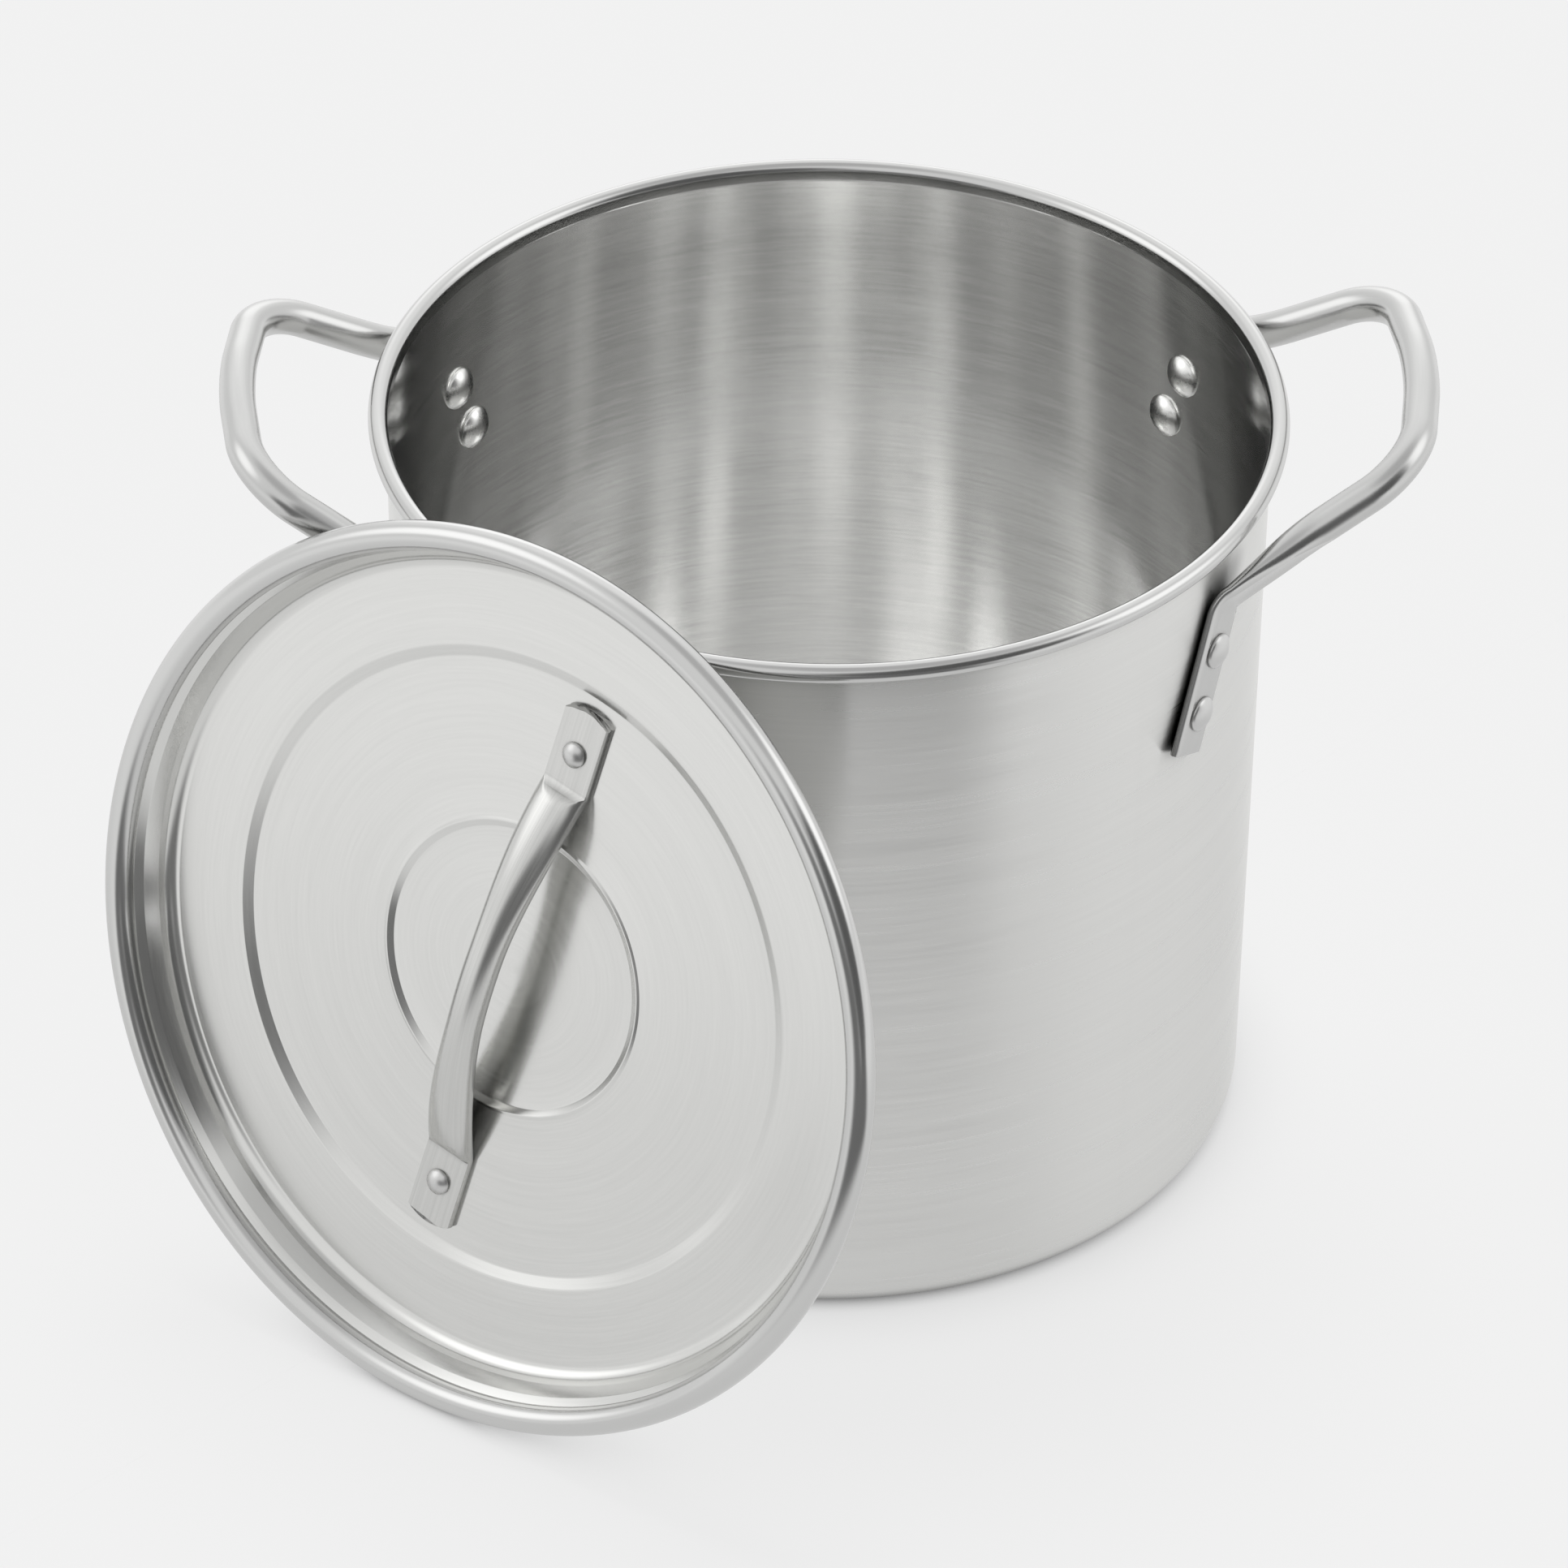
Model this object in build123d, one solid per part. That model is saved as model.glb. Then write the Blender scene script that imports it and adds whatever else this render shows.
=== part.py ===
"""Brew kettle with two riveted side handles and a loose lid that leans on its rim.

Millimetres, +Z up. The origin is the centre of the kettle's base, on the floor.
Every piece is one closed solid, written to parts/NODE.step.
"""
from build123d import *
from math import asin, atan2, cos, degrees, hypot, radians, sin, tan
import os

# Kettle: one drawn sheet with a rolled rim
RIM_RADIUS = 157.0
KETTLE_HEIGHT = 278.0
SHELL_SHEET = 0.8
FOOT_RADIUS = 146.4
FOOT_BEND = 11.6
RIM_CURL_RADIUS = 3.35
RIM_CURL_TURN = 305.0

# Side handles: one tube each, its flattened ends folded down against the wall
HANDLE_TUBE = 12.4
HANDLE_TUBE_WALL = 1.0
HANDLE_TILT = 29.7
HANDLE_REACH = 46.0
HANDLE_LIFT = 62.8
HANDLE_CORNER_SPACING = 104.8
HANDLE_CORNER_RADIUS = 28.5
HANDLE_LEG_TAPER = 14.6
HANDLE_LEG_STRAIGHT = 45.0
HANDLE_GRIP_BOW = 7.0
GRIP_BOW_RADIUS = 130.0
TAB_WIDTH = 17.8
TAB_THICKNESS = 4.0
TAB_AZIMUTH = 34.7
TAB_SPLAY = 22.7
TAB_END_MARGIN = 15.0
TAB_FOLD_MARGIN = 16.5
TAB_FOLD_RISE = 2.2
TAB_FOLD_LENGTH = 10.0
COLLAR_TUBE = 12.9

# Where each handle stands: the azimuth of its loop, the turn of its tabs beyond that,
# and the drop of its tabs below the top of the rim
RIGHT_HANDLE_AZIMUTH = 2.2
RIGHT_TAB_TURN = -0.7
RIGHT_TAB_DROP = 54.0
LEFT_HANDLE_AZIMUTH = 181.6
LEFT_TAB_TURN = 1.2
LEFT_TAB_DROP = 56.0

# Handle rivets
RIVET_PITCH = 22.8
RIVET_SHANK = 6.4
RIVET_OUTER_HEAD = 12.4
RIVET_OUTER_DOME = 3.2
RIVET_OUTER_EDGE = 1.0
RIVET_INNER_HEAD = 15.2
RIVET_INNER_DOME = 4.2
RIVET_INNER_EDGE = 0.8
RIVET_INNER_SINK = 2.0
RIVET_CLEARANCE = 0.05
SEAT_CLEARANCE = 0.02

# Lid: one pressed sheet with a rolled edge and a sunk panel
LID_RADIUS = 159.7
LID_SHEET = 0.8
LID_CURL_RADIUS = 5.0
LID_CREASE_ANGLE = 207.0
LID_CURL_START = 220.0
LID_CURL_TURN = 298.0
LID_SKIRT_DRAFT = 30.0
LID_SKIRT_BEND = 8.0
LID_PANEL_DEPTH = 14.4
LID_STEP_RADIUS = 111.0
LID_STEP_WIDTH = 5.2
LID_STEP_DEPTH = 1.7
LID_CENTRE_RADIUS = 52.0
LID_CENTRE_WIDTH = 4.4
LID_CENTRE_DEPTH = 0.8
LID_STEP_BEND = 2.5

# Lid handle: an arched tube with flattened ends
STRAP_TURN = 80.7
STRAP_LENGTH = 208.0
STRAP_RIVET_MARGIN = 16.6
STRAP_TAB_LENGTH = 30.0
STRAP_TAB_WIDTH = 18.6
STRAP_TAB_THICKNESS = 2.8
STRAP_TUBE = 10.6
STRAP_HEIGHT = 19.6
STRAP_END_BULGE = 2.6
STRAP_ROOT = 2.0

# Lid rivets
LID_RIVET_SHANK = 4.8
LID_RIVET_HEAD = 9.0
LID_RIVET_DOME = 2.9
LID_RIVET_EDGE = 0.7
LID_BUCK_DOME = 1.4
LID_BUCK_EDGE = 0.6

# Where the lid leans
LEAN_AZIMUTH = 234.0
LEAN_ANGLE = 13.4
LEAN_SIDE_SHIFT = 5.4
LEAN_GAP = 0.3
LEAN_STEPS = 30


def rim_centre():
    """Centre of the rolled rim's section, as radius and height."""
    return RIM_RADIUS - RIM_CURL_RADIUS, KETTLE_HEIGHT - RIM_CURL_RADIUS


def taper():
    """Outward lean of the kettle wall, in degrees, that lets it run smoothly into the rim."""
    radius, height = rim_centre()
    outward = radius - FOOT_RADIUS
    inner_roll = RIM_CURL_RADIUS - SHELL_SHEET
    return degrees(atan2(outward, height) - asin(inner_roll / hypot(outward, height)))


def wall_radius(height):
    """Outer radius of the kettle wall at a height."""
    return FOOT_RADIUS + height * tan(radians(taper()))


def strip(outline, side, thickness):
    """Flat section of a sheet that lies on one side of an open outline."""
    return make_face(offset(outline, amount=thickness, side=side, closed=True).edges())


def curl(centre, radius, sheet, start, turn):
    """Flat section of a sheet rolled about a centre, clockwise from a start angle."""
    outer = CenterArc(centre, radius, start, -turn)
    inner = CenterArc(centre, radius - sheet, start, -turn)
    return make_face([outer, inner, Line(outer @ 0, inner @ 0), Line(outer @ 1, inner @ 1)])


def turned(section):
    """Solid of revolution of a section drawn as radius and height."""
    return revolve(Plane.XZ * section, Axis.Z, 360)


def kettle_section():
    """Half section of the kettle's sheet, from the middle of its base to its rolled rim."""
    radius, height = rim_centre()
    lean = radians(taper())
    inner_roll = RIM_CURL_RADIUS - SHELL_SHEET
    top = (radius - inner_roll * cos(lean), height + inner_roll * sin(lean))
    side = FilletPolyline((0, 0), (FOOT_RADIUS, 0), top, radius=FOOT_BEND)
    section = strip(side, Side.LEFT, SHELL_SHEET)
    start = 180 - taper()
    return section + curl((radius, height), RIM_CURL_RADIUS, SHELL_SHEET, start, RIM_CURL_TURN)


def lid_outline():
    """Upper face of the lid from its centre to the crease below its rolled edge."""
    panel = -LID_PANEL_DEPTH
    inner = panel - LID_STEP_DEPTH
    centre = inner - LID_CENTRE_DEPTH
    step = LID_STEP_WIDTH / 2
    ring = LID_CENTRE_WIDTH / 2
    reach = LID_CURL_RADIUS - LID_SHEET / 2
    crease = LID_RADIUS - LID_CURL_RADIUS + reach * cos(radians(LID_CREASE_ANGLE))
    top = reach * sin(radians(LID_CREASE_ANGLE))
    foot = crease - (top - panel) * tan(radians(LID_SKIRT_DRAFT))
    points = [
        (0, centre),
        (LID_CENTRE_RADIUS - ring, centre),
        (LID_CENTRE_RADIUS + ring, inner),
        (LID_STEP_RADIUS - step, inner),
        (LID_STEP_RADIUS + step, panel),
        (foot, panel),
        (crease, top),
    ]
    return FilletPolyline(*points, radius=[LID_STEP_BEND] * 4 + [LID_SKIRT_BEND])


def lid_section():
    """Half section of the lid's sheet, from its centre to its rolled edge."""
    section = strip(lid_outline(), Side.RIGHT, LID_SHEET)
    centre = (LID_RADIUS - LID_CURL_RADIUS, 0)
    return section + curl(centre, LID_CURL_RADIUS, LID_SHEET, LID_CURL_START, LID_CURL_TURN)


def lean_rise():
    """Height of the leaning lid's centre, its rolled edge on the floor."""
    return LID_CURL_RADIUS + (LID_RADIUS - LID_CURL_RADIUS) * cos(radians(LEAN_ANGLE))


def lean_distance():
    """Distance of the leaning lid's centre from the kettle's axis, moved in to its gap."""
    kettle = kettle_section()
    upper_half = Rot(0, 0, LEAN_ANGLE - 90) * mirror(lid_section(), about=Plane.YZ)
    away = RIM_RADIUS + KETTLE_HEIGHT * sin(radians(LEAN_ANGLE)) + LID_RADIUS
    for _ in range(LEAN_STEPS):
        away -= kettle.distance_to(Pos(away, lean_rise()) * upper_half) - LEAN_GAP
    return away


def lid_place():
    """Where the lid leans: its edge on the floor, its back just clear of the kettle."""
    lean = radians(LEAN_ANGLE)
    centre = (lean_distance(), LEAN_SIDE_SHIFT, lean_rise())
    plane = Plane(origin=centre, x_dir=(0, 1, 0), z_dir=(cos(lean), 0, sin(lean)))
    return Rot(0, 0, LEAN_AZIMUTH) * plane.location


def cut_plane(origin, normal, across):
    """Plane across a flattened tube, its X laid along a given direction."""
    level = across - normal * across.dot(normal)
    return Plane(origin=origin, x_dir=level, z_dir=normal)


def flattened(origin, normal, across, width, depth):
    """Cross-section of a side handle's flattened end."""
    return cut_plane(origin, normal, across) * SlotOverall(width, depth)


def tab_seat(turn, drop):
    """Frame of a handle tab on the wall: X across it, Y up along it, Z outward."""
    height = KETTLE_HEIGHT - drop
    lean = radians(taper())
    seat = Plane(
        origin=(wall_radius(height), 0, height), x_dir=(0, 1, 0), z_dir=(cos(lean), 0, -sin(lean))
    )
    return Rot(0, 0, TAB_AZIMUTH + turn) * seat.location * Rot(0, 0, TAB_SPLAY)


def handle_path(drop):
    """Centre line of the round tube, from one flattened leg to the other."""
    height = KETTLE_HEIGHT - drop
    reach = wall_radius(height) + HANDLE_REACH
    tilt = Location((reach, 0, height + HANDLE_LIFT), (0, -HANDLE_TILT, 0))
    half = HANDLE_CORNER_SPACING / 2
    taper_in = radians(HANDLE_LEG_TAPER)
    back = Vector(-cos(taper_in), sin(taper_in), 0) * HANDLE_LEG_STRAIGHT
    corner = Vector(0, half, 0)
    points = [corner + back, corner, Vector(HANDLE_GRIP_BOW, 0, 0)]
    points += [Vector(p.X, -p.Y, 0) for p in reversed(points[:2])]
    bends = [HANDLE_CORNER_RADIUS, GRIP_BOW_RADIUS, HANDLE_CORNER_RADIUS]
    return FilletPolyline(*[(tilt * Pos(p)).position for p in points], radius=bends)


def handle_tab(seat):
    """Flat riveted end of a side handle, on its seat."""
    length = TAB_END_MARGIN + RIVET_PITCH + TAB_FOLD_MARGIN
    low_end = -TAB_END_MARGIN - RIVET_PITCH / 2
    upright = Pos(0, low_end, TAB_THICKNESS / 2) * Rot(-90, 0, 0)
    return seat * extrude(upright * SlotOverall(TAB_WIDTH, TAB_THICKNESS), length)


def handle_end(seat, start, outward):
    """Flattened end of the tube: the riveted tab, the fold and the stretch that rounds out."""
    across = Plane(seat).x_dir
    up = Plane(seat).y_dir
    fold = (seat * Pos(0, RIVET_PITCH / 2 + TAB_FOLD_MARGIN, TAB_THICKNESS / 2)).position
    leg = (start - fold).normalized()
    turn = (up + leg).normalized()
    flat = fold + up * TAB_FOLD_RISE + leg * TAB_FOLD_LENGTH
    sections = [
        flattened(fold, up, across, TAB_WIDTH, TAB_THICKNESS),
        flattened(fold + turn * TAB_FOLD_RISE, turn, across, TAB_WIDTH, 1.1 * TAB_THICKNESS),
    ]
    for share in (0, 0.3, 0.6, 0.82, 1):
        width = TAB_WIDTH + share * (COLLAR_TUBE - TAB_WIDTH)
        depth = 1.4 * TAB_THICKNESS
        depth += share * (0.98 * COLLAR_TUBE - depth)
        normal = (leg * (1 - share) + outward * share).normalized()
        centre = flat + (start - flat) * share
        sections.append(flattened(centre, normal, across, width, depth))
    inside = start + outward * HANDLE_TUBE / 4
    sections.append(flattened(inside, outward, across, 0.9 * HANDLE_TUBE, 0.88 * HANDLE_TUBE))
    end = handle_tab(seat) + loft(sections, ruled=True)
    return end - [rivet_bore(seat * point) for point in rivet_points()]


def side_handle(turn, drop):
    """A side handle whose loop stands on +X, its tabs turned round the wall from there."""
    path = handle_path(drop)
    section = Plane(origin=path @ 0, z_dir=path % 0)
    tube = sweep(section * Circle(HANDLE_TUBE / 2), path=path)
    tube -= sweep(section * Circle(HANDLE_TUBE / 2 - HANDLE_TUBE_WALL), path=path)
    left = handle_end(tab_seat(turn, drop), path @ 0, path % 0)
    right = handle_end(tab_seat(-turn, drop), path @ 0, path % 0)
    return tube + left + mirror(right, about=Plane.XZ)


def rivet_points():
    """Where the two rivets of a tab stand on its line, the lower one first."""
    return [Pos(0, -RIVET_PITCH / 2, 0), Pos(0, RIVET_PITCH / 2, 0)]


def rivet_bore(seat):
    """Round cutter through a tab and the wall for the rivet at a seat."""
    return seat * Cylinder(RIVET_SHANK / 2 + RIVET_CLEARANCE, 3 * TAB_THICKNESS)


def rivet_head(diameter, rise, edge):
    """Domed head that stands on the plane Z = 0, with a short straight edge."""
    dome = TangentArc((0, rise), (diameter / 2, edge), tangent=(1, 0))
    sides = Polyline((0, rise), (0, 0), (diameter / 2, 0), (diameter / 2, edge))
    return revolve(Plane.XZ * make_face(dome.edges() + sides.edges()), Axis.Z, 360)


def side_rivet(seat):
    """Rivet through a handle tab and the wall, at its own seat on the wall."""
    outer = rivet_head(RIVET_OUTER_HEAD, RIVET_OUTER_DOME, RIVET_OUTER_EDGE)
    outer = Pos(0, 0, TAB_THICKNESS) * outer
    sink = RIVET_INNER_SINK
    inner = rivet_head(RIVET_INNER_HEAD, RIVET_INNER_DOME + sink, RIVET_INNER_EDGE + sink)
    inner = seat * Pos(0, 0, sink - SHELL_SHEET) * Rot(180, 0, 0) * inner
    gap = SHELL_SHEET + SEAT_CLEARANCE
    inner &= Cone(
        wall_radius(0) - gap, wall_radius(KETTLE_HEIGHT) - gap, KETTLE_HEIGHT,
        align=(Align.CENTER, Align.CENTER, Align.MIN),
    )
    shank = Cylinder(RIVET_SHANK / 2, TAB_THICKNESS + sink)
    shank = Pos(0, 0, (TAB_THICKNESS - sink) / 2) * shank
    return seat * (outer + shank) + inner


def on_both_tabs(make, point, turn, drop):
    """What a function makes at a point of the left tab, and of the right one, mirrored."""
    left = make(tab_seat(turn, drop) * point)
    right = make(tab_seat(-turn, drop) * point)
    return left, mirror(right, about=Plane.XZ)


def strap_section(path, share, width, depth):
    """Cross-section of the lid handle at a share of its arch."""
    corner = 0.49 * min(width, depth)
    plane = cut_plane(path @ share, path % share, Vector(0, 1, 0))
    return plane * RectangleRounded(width, depth, corner)


def strap_frame():
    """Frame of the lid handle in the lid: X along it, Z out of the panel it stands on."""
    return Pos(0, 0, -LID_PANEL_DEPTH - LID_STEP_DEPTH) * Rot(0, 0, STRAP_TURN)


def lid_rivet_points():
    reach = STRAP_LENGTH / 2 - STRAP_RIVET_MARGIN
    return [Pos(-reach, 0, 0), Pos(reach, 0, 0)]


def lid_rivet_bores(depth):
    radius = LID_RIVET_SHANK / 2 + RIVET_CLEARANCE
    return [strap_frame() * point * Cylinder(radius, depth) for point in lid_rivet_points()]


def strap_tab():
    """Flat end of the lid handle at its positive end, with a gently rounded edge."""
    end = STRAP_LENGTH / 2
    fold = end - STRAP_TAB_LENGTH
    half = STRAP_TAB_WIDTH / 2
    side = end - STRAP_END_BULGE
    outline = [
        Line((fold, -half), (side, -half)), ThreePointArc((side, -half), (end, 0), (side, half)),
        Line((side, half), (fold, half)), Line((fold, half), (fold, -half)),
    ]
    return extrude(make_face(outline), STRAP_TAB_THICKNESS)


def lid_handle():
    fold = STRAP_LENGTH / 2 - STRAP_TAB_LENGTH
    base = STRAP_TAB_THICKNESS / 2
    arch = ThreePointArc((-fold, 0, base), (0, 0, STRAP_HEIGHT), (fold, 0, base))
    sections = [
        strap_section(arch, 0.5, STRAP_TUBE, STRAP_TUBE),
        strap_section(arch, 0.68, 1.04 * STRAP_TUBE, 0.96 * STRAP_TUBE),
        strap_section(arch, 0.86, 0.82 * STRAP_TAB_WIDTH, 2.4 * STRAP_TAB_THICKNESS),
        strap_section(arch, 0.97, STRAP_TAB_WIDTH, 1.2 * STRAP_TAB_THICKNESS),
    ]
    root = Plane(origin=(fold + STRAP_ROOT, 0, base), x_dir=(0, 1, 0), z_dir=(1, 0, 0))
    depth = STRAP_TAB_THICKNESS
    sections += [root * RectangleRounded(STRAP_TAB_WIDTH, depth, 0.49 * depth)]
    half = loft(sections) + strap_tab()
    handle = strap_frame() * (half + mirror(half, about=Plane.YZ))
    return handle - lid_rivet_bores(4 * LID_PANEL_DEPTH)


def lid_rivet(point):
    head = rivet_head(LID_RIVET_HEAD, LID_RIVET_DOME, LID_RIVET_EDGE)
    buck = Rot(180, 0, 0) * rivet_head(LID_RIVET_HEAD, LID_BUCK_DOME, LID_BUCK_EDGE)
    low = Pos(0, 0, -LID_SHEET)
    shank = extrude(low * Circle(LID_RIVET_SHANK / 2), LID_SHEET + STRAP_TAB_THICKNESS)
    piece = Pos(0, 0, STRAP_TAB_THICKNESS) * head + shank + low * buck
    return strap_frame() * point * piece


def pieces():
    """Every piece of the kettle by name, in place."""
    handles = {
        "left_handle": (LEFT_HANDLE_AZIMUTH, LEFT_TAB_TURN, LEFT_TAB_DROP),
        "right_handle": (RIGHT_HANDLE_AZIMUTH, RIGHT_TAB_TURN, RIGHT_TAB_DROP),
    }
    ends = {"left_handle": ("front", "rear"), "right_handle": ("rear", "front")}
    made = {}
    shell = turned(kettle_section())
    for handle, (azimuth, turn, drop) in handles.items():
        place = Rot(0, 0, azimuth)
        made[handle] = place * side_handle(turn, drop)
        for level, point in zip(("lower", "upper"), rivet_points()):
            for end, rivet in zip(ends[handle], on_both_tabs(side_rivet, point, turn, drop)):
                made[f"{handle}_{end}_{level}_rivet"] = place * rivet
            for bore in on_both_tabs(rivet_bore, point, turn, drop):
                shell -= place * bore
    made["kettle_shell"] = shell

    place = lid_place()
    made["lid_shell"] = place * (turned(lid_section()) - lid_rivet_bores(LID_PANEL_DEPTH))
    made["lid_handle"] = place * lid_handle()
    for end, point in zip(("lower", "upper"), lid_rivet_points()):
        made[f"lid_handle_{end}_rivet"] = place * lid_rivet(point)
    return made


def main():
    os.makedirs("parts", exist_ok=True)
    for name, piece in pieces().items():
        export_step(piece, f"parts/{name}.step")


if __name__ == "__main__":
    main()
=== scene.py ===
from math import asin, atan2, cos, degrees, hypot, pi, radians, sin, tan

import bmesh
import bpy
from mathutils import Matrix, Vector


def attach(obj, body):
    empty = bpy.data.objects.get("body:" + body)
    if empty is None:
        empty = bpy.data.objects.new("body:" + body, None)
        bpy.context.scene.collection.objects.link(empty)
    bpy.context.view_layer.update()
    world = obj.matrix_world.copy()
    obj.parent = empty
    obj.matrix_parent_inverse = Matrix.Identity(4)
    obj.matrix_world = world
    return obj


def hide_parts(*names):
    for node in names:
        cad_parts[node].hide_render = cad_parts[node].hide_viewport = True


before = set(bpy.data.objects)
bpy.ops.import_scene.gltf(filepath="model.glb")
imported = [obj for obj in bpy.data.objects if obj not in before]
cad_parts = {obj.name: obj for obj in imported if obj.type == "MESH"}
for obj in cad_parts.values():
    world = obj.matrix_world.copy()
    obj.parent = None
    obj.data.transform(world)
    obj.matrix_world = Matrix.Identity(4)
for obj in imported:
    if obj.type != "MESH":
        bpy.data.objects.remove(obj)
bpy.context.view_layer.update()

MM = 0.001

# Kettle shell: lengths are in millimetres and angles in degrees, here and below
RIM_RADIUS = 157.0
KETTLE_HEIGHT = 278.0
SHELL_SHEET = 0.8
FOOT_RADIUS = 146.4
FOOT_BEND = 11.6
RIM_CURL_RADIUS = 3.35
RIM_CURL_TURN = 305.0
RIM_CURL_STEPS = 30
# The plain strip under the rim: its width, its upper slope, how proud it stands, and the
# radius and steps of its bends
RIM_STRIP = 3.2
RIM_STRIP_SLOPE = 0.7
RIM_STRIP_PROUD = 0.25
RIM_STRIP_BEND = (0.4, 2)
FOOT_BEND_STEPS = 12
WALL_RUN = 24.0

# Side handles: bent tube, tilted up from level, with both ends pressed flat on the wall
HANDLE_TUBE = 12.4
HANDLE_TILT = 29.7
HANDLE_REACH = 46.0
HANDLE_LIFT = 62.8
HANDLE_CORNER_SPACING = 104.8
HANDLE_CORNER_RADIUS = 28.5
HANDLE_LEG_TAPER = 14.6
HANDLE_LEG_STRAIGHT = 45.0
HANDLE_GRIP_BOW = 7.0
GRIP_BOW_RADIUS = 130.0
FOLD_RADIUS = 8.0
LEG_RADIUS = 60.0
# Radius and steps of each bend from a tab to the grip, and of the grip's own bow
LEG_BENDS = [(FOLD_RADIUS, 8), (LEG_RADIUS, 6), (HANDLE_CORNER_RADIUS, 24)]
GRIP_BEND = (GRIP_BOW_RADIUS, 12)
# Length over which a leg turns from its tab's plane to the grip's
LEG_TWIST = 60.0
# Longest step along a tube's route
ROUTE_RUN = 2.5
TAB_WIDTH = 17.8
TAB_THICKNESS = 4.0
TAB_AZIMUTH = 34.7
TAB_SPLAY = 22.7
TAB_END_MARGIN = 15.0
TAB_FOLD_MARGIN = 16.5
# A tab's end is rounded over this length, and loses this much of its width and half thickness
TAB_END_ROUND = 1.2
TAB_END_TRIM = (0.5, 0.35)
# How the tube opens out from its flat tab: over what length, how its gap grows, how flat its
# oval starts and how soon that is round, and how deep its pressed faces are dented
PRESS_LENGTHS = {"front": 44.0, "rear": 26.0}
PRESS_OPENING = 1.1
PRESS_OVAL = 0.5
PRESS_OVAL_RATE = 1.4
PRESS_DENT = 0.5
# The ends name the tabs in the order in which the handle's route meets them
HANDLES = {
    "left_handle": {"azimuth": 181.6, "turn": 1.2, "drop": 56.0, "ends": ("front", "rear")},
    "right_handle": {"azimuth": 2.2, "turn": -0.7, "drop": 54.0, "ends": ("rear", "front")},
}

# Rivets of the side handles
RIVET_PITCH = 22.8
RIVET_OUTER_HEAD = 12.4
RIVET_OUTER_DOME = 3.2
RIVET_INNER_HEAD = 15.2
RIVET_INNER_DOME = 4.2
RIVET_OUTER_EDGE = 0.9
RIVET_INNER_EDGE = 0.8
RIVET_SEAT_GAP = 0.15
RIVET_STEPS = 48

# Lid
LID_RADIUS = 159.7
LID_SHEET = 0.8
LID_CURL_RADIUS = 5.0
LID_CREASE_ANGLE = 207.0
LID_CURL_TURN = 285.0
LID_CURL_STEPS = 36
LID_SKIRT_DRAFT = 30.0
LID_PANEL_DEPTH = 14.4
LID_STEP_RADIUS = 111.0
LID_STEP_DEPTH = 1.7
LID_STEP_FACET = 4.0
LID_CENTRE_RADIUS = 52.0
LID_CENTRE_DEPTH = 0.8
# The rib round the centre: its foot, top and end from the centre's radius, and its rise
LID_CENTRE_RIB = (-2.2, 0.2, 1.4)
LID_CENTRE_RIB_RISE = 0.45
# Each fold's share of the way up the skirt, and how proud it stands
LID_SKIRT_FOLDS = ((0.38, 0.8), (0.78, 0.9))
# Radius and steps of each bend from the centre out: the rib's three, the step's two, the
# panel's edge and the skirt's two folds
LID_BENDS = (
    (1.0, 3), (0.8, 4), (0.8, 3), (1.5, 4), (2.0, 4), (5.0, 10), (1.2, 3), (1.2, 3),
)
LID_RUN = 12.0

# Lid handle and its rivets
STRAP_TURN = 80.7
STRAP_LENGTH = 208.0
STRAP_RIVET_MARGIN = 16.6
STRAP_TAB_LENGTH = 30.0
STRAP_TAB_WIDTH = 18.6
STRAP_TAB_THICKNESS = 2.8
STRAP_TUBE = 10.6
STRAP_MIDDLE_WIDTH = 12.8
STRAP_HEIGHT = 19.6
STRAP_END_BULGE = 2.6
# How its tube opens out from its flat ends: over what length, how it narrows, how flat its
# oval starts, and how steeply its gap grows
STRAP_PRESS_LENGTH = 66.0
STRAP_NARROWING = 1.2
STRAP_OVAL = 0.8
STRAP_OPENING = 0.6
STRAP_ARCH_STEPS = 60
LID_RIVET_HEAD = 9.0
LID_RIVET_DOME = 2.9
LID_BUCK_DOME = 1.4
LID_RIVET_EDGE = 0.9
LID_BUCK_EDGE = 0.6

# Where the lid leans: which way it faces, how far back it leans, and its edge's middle
LEAN_AZIMUTH = 234.0
LEAN_ANGLE = 13.4
LID_CENTRE = Vector((-114.021, -166.123, 155.488))

ROUND_STEPS = 256
# What the visible pieces stay inside the solids by, so that no facet stands proud
INSET = 0.03


# ---------------------------------------------------------------- camera

# Where the camera stands, in metres; its turn from +Y, its tilt down and its roll, in
# radians; and its focal length in millimetres
CAMERA_PLACE = (0.0, -3.21258, 2.44305)
CAMERA_YAW = -0.00443228
CAMERA_PITCH = 0.62638516
CAMERA_ROLL = 0.00873169
CAMERA_LENS = 261.13


def make_camera():
    data = bpy.data.cameras.new("camera")
    data.lens = CAMERA_LENS
    data.sensor_width = 36.0
    data.clip_start = 0.1
    data.clip_end = 50.0
    camera = bpy.data.objects.new("camera", data)
    bpy.context.scene.collection.objects.link(camera)
    bpy.context.scene.camera = camera
    ahead = Vector((
        sin(CAMERA_YAW) * cos(CAMERA_PITCH), cos(CAMERA_YAW) * cos(CAMERA_PITCH),
        -sin(CAMERA_PITCH),
    ))
    right = ahead.cross(Vector((0, 0, 1))).normalized()
    up = right.cross(ahead)
    turned = Matrix.Rotation(-CAMERA_ROLL, 3, ahead)
    axes = Matrix((turned @ right, turned @ up, -ahead)).transposed().to_4x4()
    camera.matrix_world = Matrix.Translation(CAMERA_PLACE) @ axes


make_camera()


# ---------------------------------------------------------------- materials

def linear(hex_colour):
    """Linear RGBA of an sRGB hex colour."""
    parts = [int(hex_colour[i:i + 2], 16) / 255 for i in (1, 3, 5)]
    return [p / 12.92 if p <= 0.04045 else ((p + 0.055) / 1.055) ** 2.4 for p in parts] + [1.0]


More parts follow.
